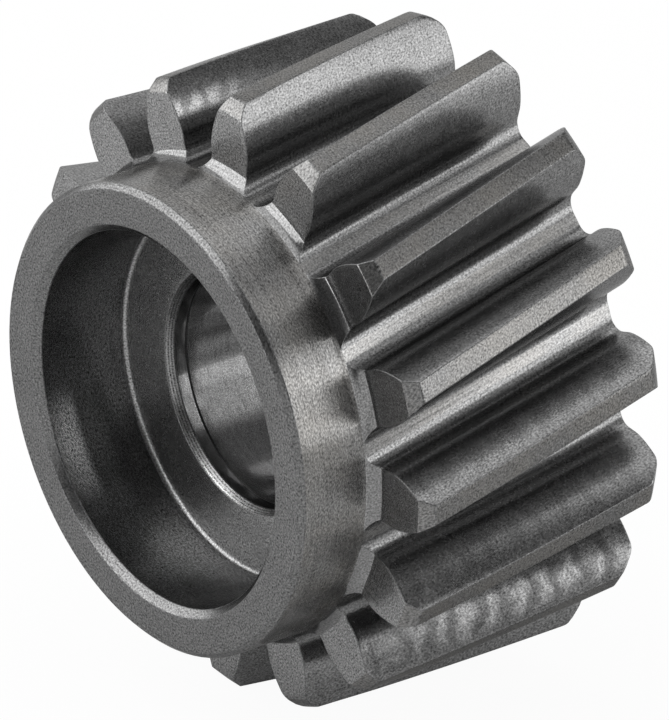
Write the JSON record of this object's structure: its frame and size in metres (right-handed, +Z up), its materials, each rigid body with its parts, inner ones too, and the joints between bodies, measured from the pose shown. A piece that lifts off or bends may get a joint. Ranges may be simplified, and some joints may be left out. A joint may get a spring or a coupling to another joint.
{
  "type": "helical gear",
  "caption": "Steel helical pinion with a plain collar, a bearing seat in the collar and a bushed through bore.",
  "frame": {"origin": "on the gear's axis, half way along the teeth", "axes": "Y along the gear's axis with the collar towards -Y, +Z up, +X to the right when the collar is seen from -Y"},
  "size_m": [0.0368, 0.0224, 0.0368],
  "materials": {
    "gear_steel": "machined steel, fine turned and hobbed marks, lightly oiled",
    "bush_steel": "honed steel, fine circumferential lines"
  },
  "bodies": {
    "root": {"gear_body": "gear_steel", "bore_bush": "bush_steel"}
  },
  "joints": []
}
